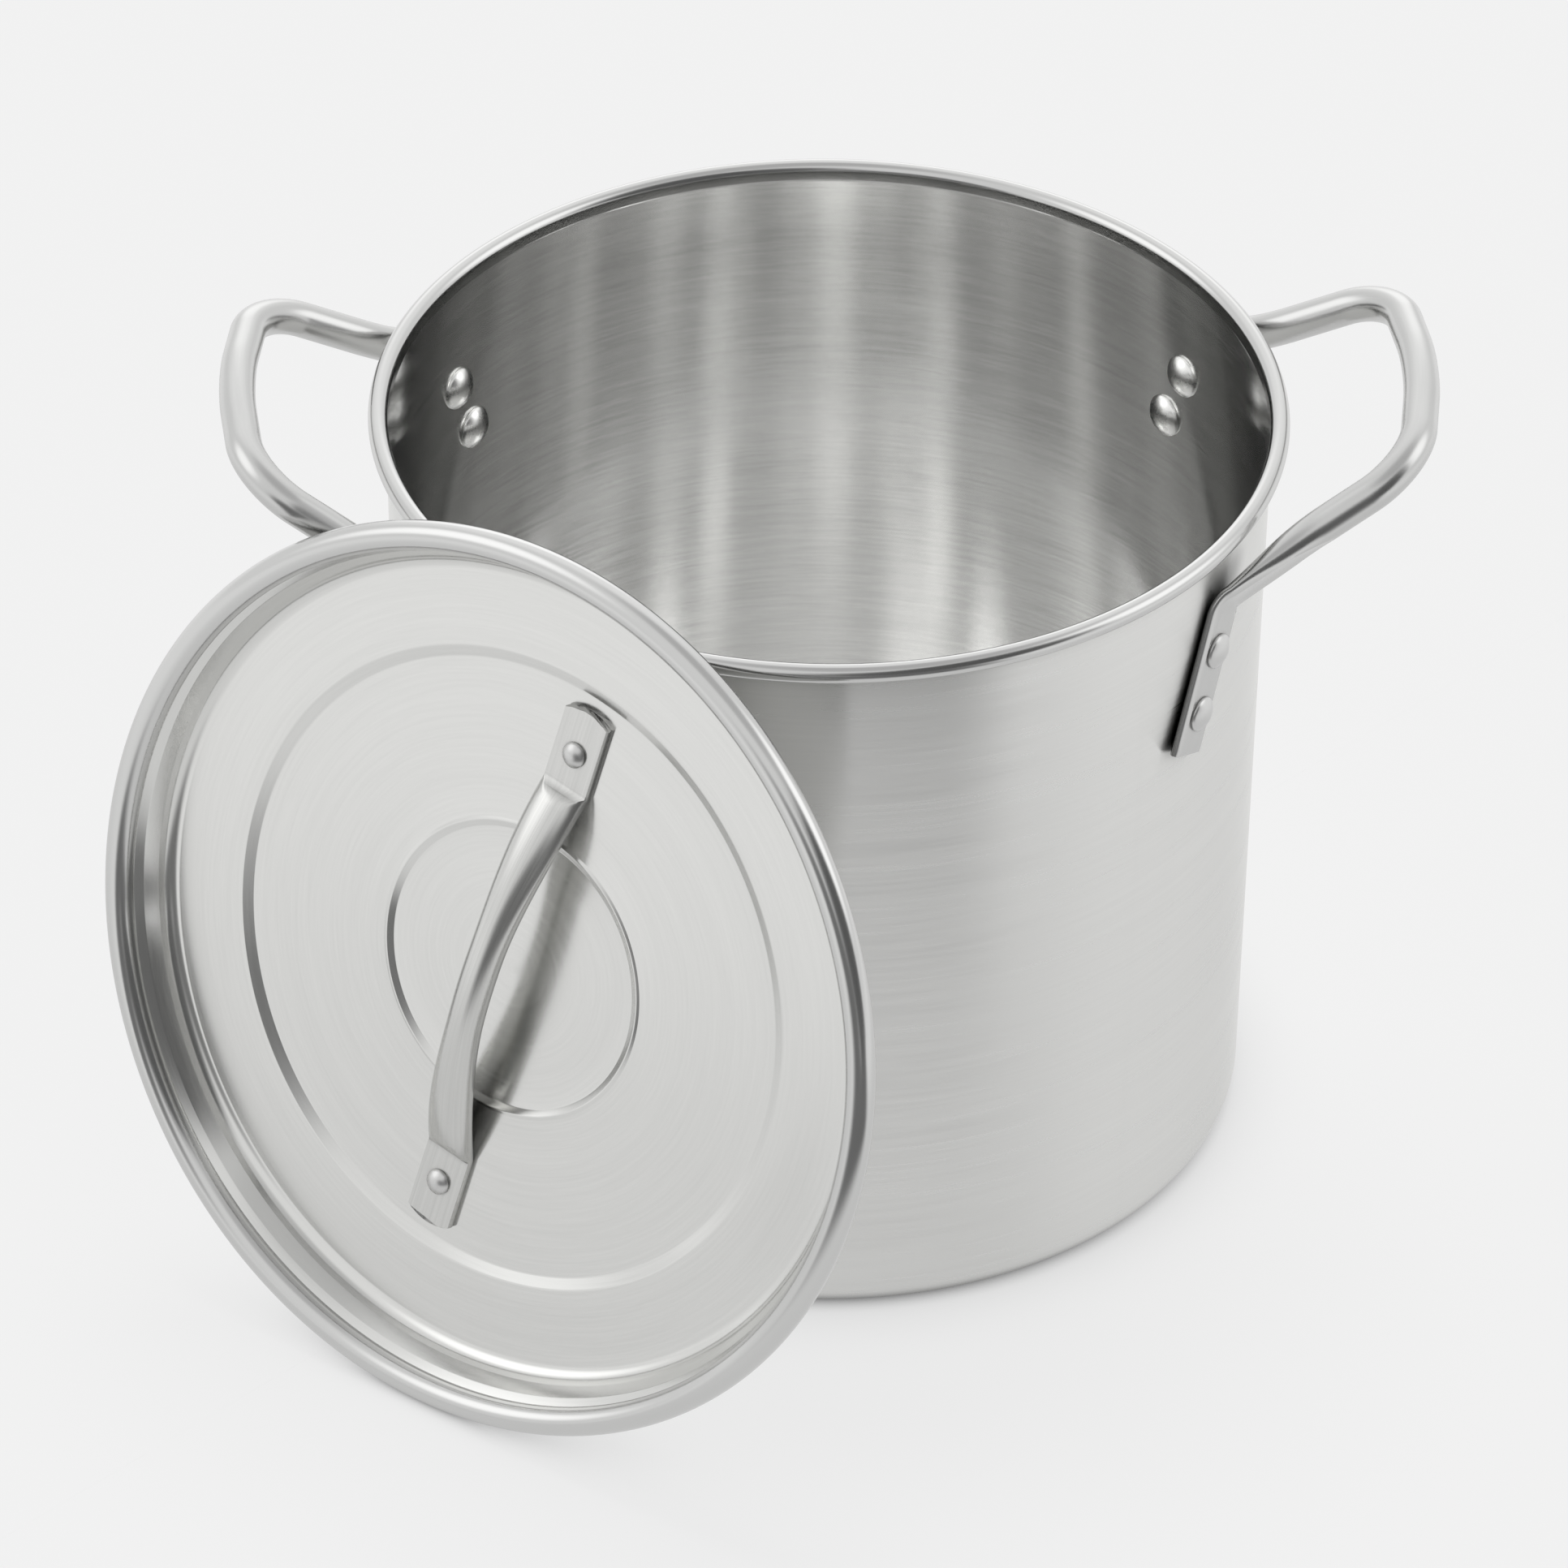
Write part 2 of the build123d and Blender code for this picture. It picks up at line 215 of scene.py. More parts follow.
def add(tree, kind, inputs=None, **settings):
    """Adds a node with its settings; an input is a value, or the socket that feeds it."""
    made = tree.nodes.new(kind)
    for name, value in settings.items():
        setattr(made, name, value)
    for name, value in (inputs or {}).items():
        if isinstance(value, bpy.types.NodeSocket):
            tree.links.new(value, made.inputs[name])
        else:
            made.inputs[name].default_value = value
    return made


def maths(tree, operation, a, b=0.0):
    """Output of a Math node on two values or sockets."""
    return add(tree, "ShaderNodeMath", {0: a, 1: b}, operation=operation).outputs[0]


def around_kettle(tree):
    """The kettle's own coordinates in metres: a streak is long across and narrow up it."""
    return add(tree, "ShaderNodeTexCoord").outputs["Object"]


def along_piece(tree):
    """Coordinates from the piece's own map: along it, and round it, in metres."""
    return add(tree, "ShaderNodeUVMap", uv_map="brush").outputs["UV"]


def lid_coordinates(tree):
    """Coordinates of the lid: across it, with distance from its centre last."""
    turn = lid_matrix.to_euler()
    local = add(
        tree, "ShaderNodeMapping",
        {"Vector": add(tree, "ShaderNodeTexCoord").outputs["Object"],
         "Location": lid_matrix.translation, "Rotation": turn},
        vector_type="TEXTURE",
    )
    split = add(tree, "ShaderNodeSeparateXYZ", {0: local.outputs[0]})
    flat = add(
        tree, "ShaderNodeCombineXYZ", {"X": split.outputs["X"], "Y": split.outputs["Y"]}
    )
    radius = add(tree, "ShaderNodeVectorMath", {0: flat.outputs[0]}, operation="LENGTH")
    return add(
        tree, "ShaderNodeCombineXYZ",
        {"X": split.outputs["X"], "Y": split.outputs["Y"], "Z": radius.outputs["Value"]},
    ).outputs[0]


# Share of its colour that metal keeps deep in a crevice, where shade is painted into it, and
# the shares of open sky between which that painted shade darkens it
CREVICE_TONE = 0.3
CREVICE_SKY = (0.1, 0.9)
# Share of the streaks, and the rest of the blotches, in the tone of the metal, and the part
# of that noise's range that the tone's range covers
STREAK_SHARE = 0.65
NOISE_RANGE = (0.3, 0.7)
# How far roughness swings either way between the streaks
ROUGHNESS_SWING = 0.15
# Light that metal turns more often than this is taken to be on its way out of the kettle
INSIDE_TURNS = 2.5


def steel(
    name, colour, roughness, anisotropy, streak, depth, tint, blotch, coordinates,
    kept=1.0, crevice=0.0,
):
    """Stainless steel: fine streaks in height, roughness and tone over soft blotches.

    A streak's sizes and depth, and the reach of the shade painted into a crevice, are in
    millimetres.
    Blotch is a streak's size as a share of a blotch's, and kept is the share of its colour
    that metal keeps, as painted shade, for light that it turns again and again inside the
    kettle.
    """
    material = bpy.data.materials.new(name)
    material.use_nodes = True
    tree = material.node_tree
    tree.nodes.clear()
    scales = [1 / (size * MM) for size in streak]
    fine = add(tree, "ShaderNodeMapping", {"Vector": coordinates(tree), "Scale": scales})
    lines = add(
        tree, "ShaderNodeTexNoise",
        {"Vector": fine.outputs[0], "Scale": 1.0, "Detail": 4.0, "Roughness": 0.62},
    ).outputs["Fac"]
    broad = add(
        tree, "ShaderNodeMapping",
        {"Vector": coordinates(tree), "Scale": [value * blotch for value in scales]},
    )
    clouds = add(
        tree, "ShaderNodeTexNoise",
        {"Vector": broad.outputs[0], "Scale": 1.0, "Detail": 2.0, "Roughness": 0.5},
    ).outputs["Fac"]
    tone = maths(
        tree, "ADD", maths(tree, "MULTIPLY", lines, STREAK_SHARE),
        maths(tree, "MULTIPLY", clouds, 1 - STREAK_SHARE),
    )
    dark = [c * (1 - tint) for c in linear(colour)[:3]] + [1.0]
    light = [min(c * (1 + tint), 1.0) for c in linear(colour)[:3]] + [1.0]
    ramp = add(
        tree, "ShaderNodeMapRange",
        {"Value": tone, "From Min": NOISE_RANGE[0], "From Max": NOISE_RANGE[1]},
    )
    mixed = add(
        tree, "ShaderNodeMix", {0: ramp.outputs[0], 6: dark, 7: light}, data_type="RGBA"
    )
    tone_colour = mixed.outputs[2]
    # Painted shade: the colour darkens for light that has turned many times inside the kettle.
    if kept < 1:
        turns = add(tree, "ShaderNodeLightPath").outputs["Glossy Depth"]
        left = add(
            tree, "ShaderNodeMapRange",
            {"Value": turns, "From Min": INSIDE_TURNS - 0.5, "From Max": INSIDE_TURNS + 0.5,
             "To Min": 1.0, "To Max": kept},
        )
        tone_colour = add(
            tree, "ShaderNodeVectorMath", {0: tone_colour, "Scale": left.outputs[0]},
            operation="SCALE",
        ).outputs[0]
    # Painted shade: the colour darkens where ambient occlusion finds the sky hidden.
    if crevice:
        open_sky = add(
            tree, "ShaderNodeAmbientOcclusion", {"Distance": crevice * MM}, samples=8
        )
        painted_shade = add(
            tree, "ShaderNodeMapRange",
            {"Value": open_sky.outputs["AO"], "From Min": CREVICE_SKY[0],
             "From Max": CREVICE_SKY[1], "To Min": CREVICE_TONE, "To Max": 1.0},
        )
        tone_colour = add(
            tree, "ShaderNodeVectorMath", {0: tone_colour, "Scale": painted_shade.outputs[0]},
            operation="SCALE",
        ).outputs[0]
    rough = add(
        tree, "ShaderNodeMapRange",
        {"Value": tone, "From Min": NOISE_RANGE[0], "From Max": NOISE_RANGE[1],
         "To Min": roughness * (1 - ROUGHNESS_SWING),
         "To Max": roughness * (1 + ROUGHNESS_SWING)},
    )
    bump = add(
        tree, "ShaderNodeBump", {"Height": lines, "Distance": depth * MM, "Strength": 1.0}
    )
    shader = add(
        tree, "ShaderNodeBsdfPrincipled",
        {"Base Color": tone_colour, "Roughness": rough.outputs[0], "Metallic": 1.0,
         "Anisotropic": anisotropy, "Normal": bump.outputs[0]},
    )
    if anisotropy:
        tangent = add(tree, "ShaderNodeTangent", direction_type="UV_MAP", uv_map="brush")
        tree.links.new(tangent.outputs[0], shader.inputs["Tangent"])
    add(tree, "ShaderNodeOutputMaterial", {"Surface": shader.outputs[0]})
    return material


# ---------------------------------------------------------------- shapes

def along(*values):
    """Shift in metres from values in millimetres."""
    return Vector(values) * MM


def in_order(bm, vert):
    """The points of an open wire, walked from one of its ends; the wire is used up."""
    made, last = [vert.co.copy()], None
    while True:
        ahead = [edge for edge in vert.link_edges if edge != last]
        if not ahead:
            bm.free()
            return made
        last = ahead[0]
        vert = last.other_vert(vert)
        made.append(vert.co.copy())


def swung(point, centre, turn, steps):
    """Points of an arc in a section: a point swung clockwise about a centre, in degrees."""
    bm = bmesh.new()
    vert = bm.verts.new(point)
    bmesh.ops.spin(
        bm, geom=[vert], cent=centre, axis=(0, 1, 0), angle=radians(turn), steps=steps,
    )
    return in_order(bm, vert)


def vert_at(bm, point):
    """The vertex nearest to a point."""
    return min(bm.verts, key=lambda vert: (vert.co - point).length)


def rounded(points, bends, longest):
    """Points of a path with each inner corner rounded and its long runs cut up."""
    bm = bmesh.new()
    verts = [bm.verts.new(point) for point in points]
    for pair in zip(verts, verts[1:]):
        bm.edges.new(pair)
    for before, corner, after, (radius, steps) in zip(points, points[1:], points[2:], bends):
        half = (before - corner).angle(after - corner) / 2
        bmesh.ops.bevel(
            bm, geom=[vert_at(bm, corner)], affect="VERTICES", offset_type="OFFSET",
            offset=radius / tan(half), segments=steps, profile=0.5, material=-1,
        )
    for edge in bm.edges[:]:
        cuts = int(edge.calc_length() / longest)
        if cuts:
            bmesh.ops.subdivide_edges(bm, edges=[edge], cuts=cuts)
    return in_order(bm, vert_at(bm, points[0]))


def path_runs(points):
    """Distance along a path at each of its points."""
    runs = [0.0]
    for a, b in zip(points, points[1:]):
        runs.append(runs[-1] + (b - a).length)
    return runs


def finish_mesh(bm, name, materials, body, nodes):
    """Makes a mesh a piece that rides on a body and stands for CAD nodes."""
    mesh = bpy.data.meshes.new(name)
    bm.to_mesh(mesh)
    bm.free()
    for material in materials:
        mesh.materials.append(material)
    piece = bpy.data.objects.new(name, mesh)
    bpy.context.scene.collection.objects.link(piece)
    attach(piece, body)
    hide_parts(*nodes)
    return piece


# Metres within which two points, or two distances along a section, count as one
SAME_PLACE = 1e-6
SAME_RUN = 1e-7
# Metres that the map of a turned piece gives one radian round it, about the wall's radius
TURN_LENGTH = 0.1


def map_turned(bm, run):
    """Maps a turned piece: U along its section in metres, V round it from its angle."""
    uv = bm.loops.layers.uv.new("brush")
    for face in bm.faces:
        middle = face.calc_center_median()
        face_angle = atan2(middle.y, middle.x)
        for loop in face.loops:
            place = loop.vert.co
            angle = face_angle
            if hypot(place.x, place.y) > SAME_RUN:
                angle = atan2(place.y, place.x)
                angle += 2 * pi * round((face_angle - angle) / (2 * pi))
            loop[uv].uv = (loop.vert[run], angle * TURN_LENGTH)


def turned_sheet(points, sharp, polished_from):
    """Sheet turned from a section in millimetres.

    The numbers of its points say where it is creased, and from where on it has material 1.
    """
    bm = bmesh.new()
    run = bm.verts.layers.float.new("run")
    runs = [length * MM for length in path_runs(points)]
    chain = [bm.verts.new(point * MM) for point in points]
    for vert, length in zip(chain, runs):
        vert[run] = length
    edges = [bm.edges.new(pair) for pair in zip(chain, chain[1:])]
    bmesh.ops.spin(
        bm, geom=chain + edges, cent=(0, 0, 0), axis=(0, 0, 1), angle=2 * pi,
        steps=ROUND_STEPS, use_merge=True, use_normal_flip=False, use_duplicate=False,
    )
    bmesh.ops.remove_doubles(bm, verts=bm.verts[:], dist=SAME_PLACE)
    for face in bm.faces:
        face.smooth = True
        middle = sum(v[run] for v in face.verts) / len(face.verts)
        face.material_index = 1 if middle > runs[polished_from - 1] else 0
    for edge in bm.edges:
        if any(all(abs(v[run] - runs[i]) < SAME_RUN for v in edge.verts) for i in sharp):
            edge.smooth = False
    map_turned(bm, run)
    return bm


def aim(bm, up):
    """Turns the faces of an open sheet over, unless its middle already looks along up."""
    first = min(bm.faces, key=lambda f: hypot(*f.calc_center_median()[:2]))
    first.normal_update()
    if first.normal.dot(up) < 0:
        bmesh.ops.reverse_faces(bm, faces=bm.faces[:])


def thicken(piece, thickness, back):
    """Gives a sheet its thickness; the back takes the materials from number back on."""
    wall = piece.modifiers.new("sheet", "SOLIDIFY")
    wall.material_offset = back
    wall.thickness = thickness * MM
    wall.offset = -1.0
    wall.use_even_offset = True


def kettle_section():
    """Inner face of the kettle, from the middle of its base round its rolled rim."""
    centre = Vector((RIM_RADIUS - RIM_CURL_RADIUS, 0, KETTLE_HEIGHT - RIM_CURL_RADIUS))
    outward = centre.x - FOOT_RADIUS
    lean = atan2(outward, centre.z)
    lean -= asin((RIM_CURL_RADIUS - SHELL_SHEET) / hypot(outward, centre.z))
    foot = FOOT_RADIUS + SHELL_SHEET * tan(lean) - SHELL_SHEET / cos(lean)
    start = centre + Vector((-cos(lean), 0, sin(lean))) * RIM_CURL_RADIUS
    corner = Vector((foot, 0, SHELL_SHEET))
    down = (corner - start).normalized()
    low = start + down * RIM_STRIP
    proud = (start - centre).normalized() * RIM_STRIP_PROUD
    high = low - down * RIM_STRIP_SLOPE + proud
    bends = [(FOOT_BEND - SHELL_SHEET, FOOT_BEND_STEPS), RIM_STRIP_BEND, RIM_STRIP_BEND]
    middle = Vector((0, 0, SHELL_SHEET))
    side = rounded([middle, corner, low, high, start], bends, WALL_RUN)
    polished_from = 1 + sum(point.z < low.z - RIM_STRIP_BEND[0] for point in side)
    curl = swung(start, centre, RIM_CURL_TURN, RIM_CURL_STEPS)
    return side + curl[1:], polished_from, degrees(lean)


def lid_section():
    """Upper face of the lid, from its centre round its rolled edge."""
    panel = -LID_PANEL_DEPTH
    inner = panel - LID_STEP_DEPTH
    centre = inner - LID_CENTRE_DEPTH
    step = LID_STEP_FACET / 2
    rib_foot, rib_top, rib_end = (LID_CENTRE_RADIUS + shift for shift in LID_CENTRE_RIB)
    middle = Vector((LID_RADIUS - LID_CURL_RADIUS - INSET, 0, 0))
    turn = radians(LID_CREASE_ANGLE)
    crease = middle + Vector((cos(turn), 0, sin(turn))) * LID_CURL_RADIUS
    foot = crease.x - (crease.z - panel) * tan(radians(LID_SKIRT_DRAFT))
    corners = [Vector((x, 0, z)) for x, z in (
        (0, centre), (rib_foot, centre), (rib_top, inner + LID_CENTRE_RIB_RISE),
        (rib_end, inner), (LID_STEP_RADIUS - step, inner), (LID_STEP_RADIUS + step, panel),
        (foot, panel),
    )]
    skirt = crease - corners[-1]
    proud = skirt.cross(Vector((0, 1, 0))).normalized()
    corners += [corners[-1] + skirt * share + proud * rise for share, rise in LID_SKIRT_FOLDS]
    corners.append(crease)
    side = rounded(corners, LID_BENDS, LID_RUN)
    return side + swung(crease, middle, LID_CURL_TURN, LID_CURL_STEPS)[1:], len(side)


# Rivet head: steps of its crown, chamfer at its edge, and its foot's share of its radius
HEAD_STEPS = 9
HEAD_CHAMFER = (0.12, 0.25)
HEAD_FOOT_SHARE = 0.985


def dome(diameter, rise, edge):
    """Section of a rivet head on the plane Z = 0, from its crown to its foot."""
    radius = diameter / 2
    drop = rise - edge
    ball = (radius ** 2 + drop ** 2) / (2 * drop)
    spread = degrees(asin((radius - HEAD_CHAMFER[0]) / ball))
    crown = swung(Vector((0, 0, rise)), Vector((0, 0, rise - ball)), spread, HEAD_STEPS)
    side = Vector((radius, 0, edge - HEAD_CHAMFER[1]))
    return crown + [side, Vector((radius * HEAD_FOOT_SHARE, 0, 0))]


def rivet(name, heads, materials, body, node):
    """Rivet from its heads: each is a place, a diameter, a rise and the height of its edge."""
    bm = bmesh.new()
    for number, (place, diameter, rise, edge) in enumerate(heads):
        chain = [bm.verts.new(point * MM) for point in dome(diameter, rise, edge)]
        edges = [bm.edges.new(pair) for pair in zip(chain, chain[1:])]
        bmesh.ops.spin(
            bm, geom=chain + edges, cent=(0, 0, 0), axis=(0, 0, 1), angle=2 * pi,
            steps=RIVET_STEPS, use_merge=True, use_normal_flip=False, use_duplicate=False,
        )
        mine = [v for v in bm.verts if not v.tag]
        bmesh.ops.transform(bm, matrix=place, verts=mine)
        for v in mine:
            v.tag = True
        for face in bm.faces:
            if not face.tag:
                face.tag = True
                face.material_index = number
    bmesh.ops.remove_doubles(bm, verts=bm.verts[:], dist=2 * SAME_PLACE)
    bmesh.ops.holes_fill(bm, edges=[e for e in bm.edges if e.is_boundary], sides=0)
    bmesh.ops.recalc_face_normals(bm, faces=bm.faces[:])
    for face in bm.faces:
        face.smooth = True
    finish_mesh(bm, name, materials, body, [node])


# Points of a tube's ring, on each rounded side and on each pressed one between them, and the
# most that its pressed corners turn up from its wide axis
RING_SIDE = 14
RING_FLAT = 22
RING_WIDEST_CORNER = 62.0
RING_CORNERS = (0, RING_SIDE, RING_SIDE + RING_FLAT, 2 * RING_SIDE + RING_FLAT)


def ring(bm, centre, tangent, wide, width, height, clip, dent):
    """One cross-section of a pressed tube: an oval, clipped flat and dented on two sides."""
    level = (wide - tangent * wide.dot(tangent)).normalized()
    deep = level.cross(tangent)
    corner = min(degrees(asin(min(1.0, 2 * clip / height))), RING_WIDEST_CORNER)
    turns = [-corner + 2 * corner * i / RING_SIDE for i in range(RING_SIDE)]
    turns += [corner + (180 - 2 * corner) * i / RING_FLAT for i in range(RING_FLAT)]
    made = bmesh.ops.create_circle(bm, cap_ends=False, radius=1.0, segments=2 * len(turns))
    edge = width / 2 * cos(radians(corner))
    for vert, turn in zip(made["verts"], turns + [t + 180 for t in turns]):
        x = width / 2 * cos(radians(turn))
        y = height / 2 * sin(radians(turn))
        if abs(y) > clip:
            sink = dent * (1 - min(1.0, (x / edge) ** 2)) ** 2
            y = (clip - sink) if y > 0 else (sink - clip)
        vert.co = (centre + level * x + deep * y) * MM
    return made["verts"], corner


# A pressed corner is shaded crisp up to this turn of the ring, past which it has rounded out
TUBE_CRISP = 50
STRAP_CRISP = 60


def skin(bm, rings, corners, crisp):
    """Joins the cross-sections, closes both ends and keeps the pressed corners crisp."""
    for a, b in zip(rings, rings[1:]):
        a_edges = {e for v in a for e in v.link_edges if e.other_vert(v) in a}
        b_edges = {e for v in b for e in v.link_edges if e.other_vert(v) in b}
        bmesh.ops.bridge_loops(bm, edges=list(a_edges | b_edges))
    for a, b, corner in zip(rings, rings[1:], corners):
        for k in RING_CORNERS:
            ridge = bm.edges.get((a[k], b[k]))
            if ridge and corner < crisp:
                ridge.smooth = False
    for end in (rings[0], rings[-1]):
        bmesh.ops.contextual_create(bm, geom=end)
    bmesh.ops.recalc_face_normals(bm, faces=bm.faces[:])


# Distance round a tube, in metres, that its map gives one turn
TUBE_GIRTH = 0.04


def map_tube(bm, rings, runs):
    """Maps a tube: U along it, V round it, both in metres."""
    uv = bm.loops.layers.uv.new("brush")
    where = {}
    for verts, run in zip(rings, runs):
        for i, vert in enumerate(verts):
            where[vert] = (run * MM, i / len(verts))
    for face in bm.faces:
        face.smooth = len(face.verts) == 4
        shares = [where[loop.vert][1] for loop in face.loops]
        wraps = max(shares) - min(shares) > 0.5
        for loop, share in zip(face.loops, shares):
            if wraps and share < 0.5:
                share += 1
            loop[uv].uv = (where[loop.vert][0], share * TUBE_GIRTH)


def tangents(points):
    """Direction of a path at each of its points."""
    made = []
    for i in range(len(points)):
        a = points[max(i - 1, 0)]
        b = points[min(i + 1, len(points) - 1)]
        made.append((b - a).normalized())
    return made


def ease(t):
    """Smooth step from 0 to 1."""
    t = max(0.0, min(1.0, t))
    return t * t * (3 - 2 * t)


# ---------------------------------------------------------------- kettle

kettle_points, kettle_rim_start, wall_lean = kettle_section()


def wall_radius(height):
    """Outer radius of the wall at a height."""
    return FOOT_RADIUS + height * tan(radians(wall_lean))


lean = radians(LEAN_ANGLE)
face_way = radians(LEAN_AZIMUTH)
lid_out = Vector((cos(face_way) * cos(lean), sin(face_way) * cos(lean), sin(lean)))
lid_side = Vector((-sin(face_way), cos(face_way), 0))
lid_up = lid_out.cross(lid_side)
lid_matrix = Matrix((lid_side, lid_up, lid_out)).transposed().to_4x4()
lid_matrix.translation = LID_CENTRE * MM

# Every finish is drawn with streaks of noise. Real brush, spinning and sanding lines are about
# 0.1 mm wide, too fine to show with the whole kettle in view, so they are drawn 0.8 to 1.7 mm
# wide, as narrow as still shows. Their lengths are those of the real strokes. A piece's own
# map has two directions, so there the third size does nothing.

# Cold-rolled 18/8 stainless sheet, brushed round the wall with an abrasive belt: its long fine
# lines draw every highlight out up and down the wall and leave it softly grained.
# Shade is painted dark into its crevices, as beside the handles' tabs.
brushed_wall = steel(
    "brushed_stainless_wall", "#E6E6E4", roughness=0.30, anisotropy=0.95,
    streak=(50, 50, 1.25), depth=0.001, tint=0.03, blotch=0.2,
    coordinates=around_kettle, crevice=10,
)
# The same sheet inside, brushed more finely: a satin that mirrors the opening in soft upright
# bands, its colour painted darker, as shade, where the wall mirrors itself again and again.
satin_inside = steel(
    "satin_stainless_inside", "#F3F3F2", roughness=0.15, anisotropy=0.8,
    streak=(22.2, 22.2, 1.25), depth=0.003, tint=0.08, blotch=0.25,
    coordinates=around_kettle, kept=0.66,
)
# The rolled rim, buffed with a soft wheel: nearly a mirror, with only a faint grain left.
polished_rim = steel(
    "polished_stainless_rim", "#CFCFCE", roughness=0.16, anisotropy=0.3,
    streak=(55.6, 55.6, 1.43), depth=0.001, tint=0.012, blotch=0.2,
    coordinates=around_kettle,
)
# Stainless sheet spun over a former: tool marks run in rings round the lid's centre and give
# the panel a faint circular grain and broad soft highlights.
spun_lid = steel(
    "spun_stainless_lid", "#DEDEDC", roughness=0.18, anisotropy=0.5,
    streak=(33.3, 33.3, 1.11), depth=0.003, tint=0.035, blotch=0.2,
    coordinates=lid_coordinates,
)
# The lid's rolled edge, buffed like the kettle's rim: sharp bright and dark lines along it.
polished_bead = steel(
    "polished_stainless_bead", "#D2D2D1", roughness=0.18, anisotropy=0.3,
    streak=(55.6, 55.6, 1.67), depth=0.001, tint=0.012, blotch=0.2,
    coordinates=lid_coordinates,
)
# The underside of the lid, left with the rolling mill's 2B finish: duller, greyer and hazy,
# its grey deepened as painted shade for the gap between the lid and the kettle.
mill_back_painted_shade = steel(
    "mill_finish_painted_shade_stainless_back", "#B4B4B2", roughness=0.3, anisotropy=0.5,
    streak=(83.3, 83.3, 1.11), depth=0.003, tint=0.04, blotch=0.2,
    coordinates=lid_coordinates,
)
# Drawn stainless tube, polished lengthwise: long clean highlights, with shade painted dark
# into its pressed creases.
polished_tube = steel(
    "polished_stainless_tube", "#CDCDCC", roughness=0.22, anisotropy=0.0,
    streak=(25, 1.11, 1000), depth=0.001, tint=0.03, blotch=0.3,
    coordinates=along_piece, crevice=8,
)
# The lid handle's pressed tube, sanded lengthwise: plain fine lines on its flat ends, and
# shade painted dark into its crevices, as on its underside near the lid.
sanded_strap = steel(
    "sanded_stainless_strap", "#D4D4D2", roughness=0.24, anisotropy=0.0,
    streak=(71.4, 0.77, 1000), depth=0.004, tint=0.09, blotch=0.3,
    coordinates=along_piece, crevice=12,
)
# Upset stainless rivets, tumbled in a barrel: bright and a little uneven, with no grain.
tumbled_rivet = steel(
    "tumbled_stainless_rivet", "#D6D6D5", roughness=0.34, anisotropy=0.0,
    streak=(3.33, 3.33, 3.33), depth=0.002, tint=0.02, blotch=0.3,
    coordinates=around_kettle,
)
# Their broad heads inside the kettle, buffed with the wall: smoother, and painted brighter to
# stand in for light.
polished_rivet_painted_light = steel(
    "polished_stainless_rivet", "#F4F4F2", roughness=0.28, anisotropy=0.0,
    streak=(3.33, 3.33, 3.33), depth=0.001, tint=0.02, blotch=0.3,
    coordinates=around_kettle,
)


def make_kettle():
    """The kettle's drawn shell: foot, leaning wall and rolled rim in one sheet."""
    bm = turned_sheet(kettle_points, [], kettle_rim_start)
    aim(bm, Vector((0, 0, 1)))
    piece = finish_mesh(
        bm, "kettle_body", [satin_inside, polished_rim, brushed_wall, polished_rim], "kettle",
        ["kettle_shell"],
    )
    thicken(piece, SHELL_SHEET, 2)


make_kettle()


# ---------------------------------------------------------------- side handles

def tab_seat(turn, drop):
    """Frame of a handle tab on the wall, in millimetres: across it, up it, outward."""
    height = KETTLE_HEIGHT - drop
    tilt = radians(wall_lean)
    out = Vector((cos(tilt), 0, -sin(tilt)))
    across = Vector((0, 1, 0))
    up = out.cross(across)
    seat = Matrix((across, up, out)).transposed().to_4x4()
    seat.translation = Vector((wall_radius(height), 0, height))
    round_wall = Matrix.Rotation(radians(TAB_AZIMUTH + turn), 4, "Z")
    return round_wall @ seat @ Matrix.Rotation(radians(TAB_SPLAY), 4, "Z")


MIRROR = Matrix.Scale(-1, 4, Vector((0, 1, 0)))


def handle_route(turn, drop):
    """Centre line of a side handle in millimetres, from one tab's end to the other's."""
    height = KETTLE_HEIGHT - drop
    loop = Matrix.Translation((wall_radius(height) + HANDLE_REACH, 0, height + HANDLE_LIFT))
    loop = loop @ Matrix.Rotation(-radians(HANDLE_TILT), 4, "Y")
    half = HANDLE_CORNER_SPACING / 2
    taper = radians(HANDLE_LEG_TAPER)
    corner = Vector((0, half, 0))
    back = corner + Vector((-cos(taper), sin(taper), 0)) * HANDLE_LEG_STRAIGHT
    ends = []
    for side, seat in ((1, tab_seat(turn, drop)), (-1, tab_seat(-turn, drop))):
        low = Vector((0, -RIVET_PITCH / 2 - TAB_END_MARGIN, TAB_THICKNESS / 2))
        fold = Vector((0, RIVET_PITCH / 2 + TAB_FOLD_MARGIN, TAB_THICKNESS / 2))
        leg = [seat @ low, seat @ fold, loop @ back, loop @ corner]
        across = seat.to_3x3() @ Vector((1, 0, 0))
        if side < 0:
            leg = [MIRROR @ p for p in leg]
            across = MIRROR.to_3x3() @ across
        ends.append((leg, across))
    middle = loop @ Vector((HANDLE_GRIP_BOW, 0, 0))
    points = ends[0][0] + [middle] + ends[1][0][::-1]
    bends = LEG_BENDS + [GRIP_BEND] + LEG_BENDS[::-1]
    plane_up = loop.to_3x3() @ Vector((0, 0, 1))
    return rounded(points, bends, ROUTE_RUN), ends[0][1], ends[1][1], plane_up


